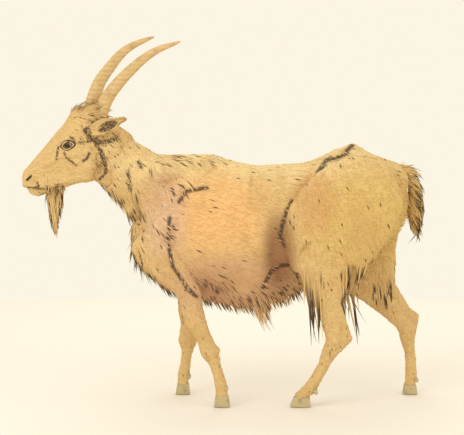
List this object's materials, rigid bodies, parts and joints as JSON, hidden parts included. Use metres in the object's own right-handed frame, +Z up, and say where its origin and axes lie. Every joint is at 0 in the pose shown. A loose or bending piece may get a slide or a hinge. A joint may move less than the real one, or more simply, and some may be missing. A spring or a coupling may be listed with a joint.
{
  "type": "jointed goat figure",
  "caption": "Life-size goat figure in a walking stance, haired body over forked wooden bones, with jointed legs, neck, head, jaw, ears and tail.",
  "frame": {"origin": "on the ground under the middle of the figure's box", "axes": "+Z up, the goat faces -X, its left side is -Y"},
  "size_m": [1.2022, 0.2888, 1.0988],
  "materials": {
    "hide": "short ochre coat, browner at the flank and belly",
    "hair": "long hair, ochre at the root and grey-brown at the tips",
    "horn": "ringed horn, dull, lighter towards the hooves",
    "wood": "smooth pale wood",
    "steel": "round bar",
    "glass": "dark polished eye"
  },
  "bodies": {
    "trunk": {"trunk": "hide", "shoulder_rod": "steel", "hip_rod": "steel", "neck_rod": "steel", "tail_rod": "steel"},
    "neck": {"neck": "hide"},
    "head": {"head": "hide", "head_rod": "steel", "jaw_rod": "steel", "left_horn": "horn", "right_horn": "horn", "left_eye": "glass", "right_eye": "glass"},
    "jaw": {"lower_jaw": "hide", "beard": "hair"},
    "left_ear": {"left_ear": "hide"},
    "right_ear": {"right_ear": "hide"},
    "tail": {"tail": "hair"},
    "left_fore_upper": {"left_fore_upper_arm": "hide", "left_fore_humerus": "wood"},
    "left_fore_lower": {"left_fore_forearm": "hide", "left_fore_radius": "wood"},
    "left_fore_shank": {"left_fore_cannon": "hide", "left_fore_metacarpus": "wood"},
    "left_fore_foot": {"left_fore_pastern": "hide", "left_fore_inner_claw": "horn", "left_fore_outer_claw": "horn"},
    "right_fore_upper": {"right_fore_upper_arm": "hide", "right_fore_humerus": "wood"},
    "right_fore_lower": {"right_fore_forearm": "hide", "right_fore_radius": "wood"},
    "right_fore_shank": {"right_fore_cannon": "hide", "right_fore_metacarpus": "wood"},
    "right_fore_foot": {"right_fore_pastern": "hide", "right_fore_inner_claw": "horn", "right_fore_outer_claw": "horn"},
    "left_hind_upper": {"left_hind_thigh": "hide", "left_hind_femur": "wood"},
    "left_hind_lower": {"left_hind_gaskin": "hide", "left_hind_tibia": "wood"},
    "left_hind_shank": {"left_hind_cannon": "hide", "left_hind_metatarsus": "wood"},
    "left_hind_foot": {"left_hind_pastern": "hide", "left_hind_inner_claw": "horn", "left_hind_outer_claw": "horn"},
    "right_hind_upper": {"right_hind_thigh": "hide", "right_hind_femur": "wood"},
    "right_hind_lower": {"right_hind_gaskin": "hide", "right_hind_tibia": "wood"},
    "right_hind_shank": {"right_hind_cannon": "hide", "right_hind_metatarsus": "wood"},
    "right_hind_foot": {"right_hind_pastern": "hide", "right_hind_inner_claw": "horn", "right_hind_outer_claw": "horn"}
  },
  "joints": [
    {"name": "neck_pitch", "type": "hinge", "parent": "trunk", "child": "neck", "pos_m": [-0.21718, 0, 0.636], "axis": [0, 1, 0], "range_deg": [-28, 20]},
    {"name": "head_nod", "type": "hinge", "parent": "neck", "child": "head", "pos_m": [-0.33518, 0, 0.768], "axis": [0, 1, 0], "range_deg": [-14, 18]},
    {"name": "jaw_open", "type": "hinge", "parent": "head", "child": "jaw", "pos_m": [-0.40918, 0, 0.742], "axis": [0, 1, 0], "range_deg": [-14, 0]},
    {"name": "left_ear_swing", "type": "hinge", "parent": "head", "child": "left_ear", "pos_m": [-0.38918, -0.056, 0.812], "axis": [0, 1, 0], "range_deg": [-25, 35]},
    {"name": "right_ear_swing", "type": "hinge", "parent": "head", "child": "right_ear", "pos_m": [-0.38918, 0.056, 0.812], "axis": [0, 1, 0], "range_deg": [-25, 35]},
    {"name": "tail_swing", "type": "hinge", "parent": "trunk", "child": "tail", "pos_m": [0.52882, 0, 0.688], "axis": [0, 1, 0], "range_deg": [-60, 4]},
    {"name": "left_fore_shoulder", "type": "hinge", "parent": "trunk", "child": "left_fore_upper", "pos_m": [-0.21218, -0.104, 0.462], "axis": [0, 1, 0], "range_deg": [-15, 30]},
    {"name": "left_fore_elbow", "type": "hinge", "parent": "left_fore_upper", "child": "left_fore_lower", "pos_m": [-0.08918, -0.104, 0.336], "axis": [0, 1, 0], "range_deg": [-8, 45]},
    {"name": "left_fore_knee", "type": "hinge", "parent": "left_fore_lower", "child": "left_fore_shank", "pos_m": [-0.03518, -0.104, 0.165], "axis": [0, 1, 0], "range_deg": [-65, 5]},
    {"name": "left_fore_fetlock", "type": "hinge", "parent": "left_fore_shank", "child": "left_fore_foot", "pos_m": [-0.00518, -0.104, 0.066], "axis": [0, 1, 0], "range_deg": [-50, 20]},
    {"name": "right_fore_shoulder", "type": "hinge", "parent": "trunk", "child": "right_fore_upper", "pos_m": [-0.21218, 0.104, 0.462], "axis": [0, 1, 0], "range_deg": [-15, 30]},
    {"name": "right_fore_elbow", "type": "hinge", "parent": "right_fore_upper", "child": "right_fore_lower", "pos_m": [-0.08018, 0.104, 0.345], "axis": [0, 1, 0], "range_deg": [-30, 18]},
    {"name": "right_fore_knee", "type": "hinge", "parent": "right_fore_lower", "child": "right_fore_shank", "pos_m": [-0.10718, 0.104, 0.168], "axis": [0, 1, 0], "range_deg": [-65, 5]},
    {"name": "right_fore_fetlock", "type": "hinge", "parent": "right_fore_shank", "child": "right_fore_foot", "pos_m": [-0.12118, 0.104, 0.066], "axis": [0, 1, 0], "range_deg": [-50, 20]},
    {"name": "left_hind_hip", "type": "hinge", "parent": "trunk", "child": "left_hind_upper", "pos_m": [0.42082, -0.104, 0.612], "axis": [0, 1, 0], "range_deg": [-35, 12]},
    {"name": "left_hind_stifle", "type": "hinge", "parent": "left_hind_upper", "child": "left_hind_lower", "pos_m": [0.27982, -0.104, 0.438], "axis": [0, 1, 0], "range_deg": [-30, 8]},
    {"name": "left_hind_hock", "type": "hinge", "parent": "left_hind_lower", "child": "left_hind_shank", "pos_m": [0.33082, -0.104, 0.195], "axis": [0, 1, 0], "range_deg": [-30, 40]},
    {"name": "left_hind_fetlock", "type": "hinge", "parent": "left_hind_shank", "child": "left_hind_foot", "pos_m": [0.25882, -0.104, 0.056], "axis": [0, 1, 0], "range_deg": [-45, 20]},
    {"name": "right_hind_hip", "type": "hinge", "parent": "trunk", "child": "right_hind_upper", "pos_m": [0.42082, 0.104, 0.612], "axis": [0, 1, 0], "range_deg": [-8, 40]},
    {"name": "right_hind_stifle", "type": "hinge", "parent": "right_hind_upper", "child": "right_hind_lower", "pos_m": [0.39682, 0.104, 0.389], "axis": [0, 1, 0], "range_deg": [-30, 8]},
    {"name": "right_hind_hock", "type": "hinge", "parent": "right_hind_lower", "child": "right_hind_shank", "pos_m": [0.56282, 0.104, 0.211], "axis": [0, 1, 0], "range_deg": [-30, 40]},
    {"name": "right_hind_fetlock", "type": "hinge", "parent": "right_hind_shank", "child": "right_hind_foot", "pos_m": [0.58082, 0.104, 0.056], "axis": [0, 1, 0], "range_deg": [-45, 20]}
  ]
}
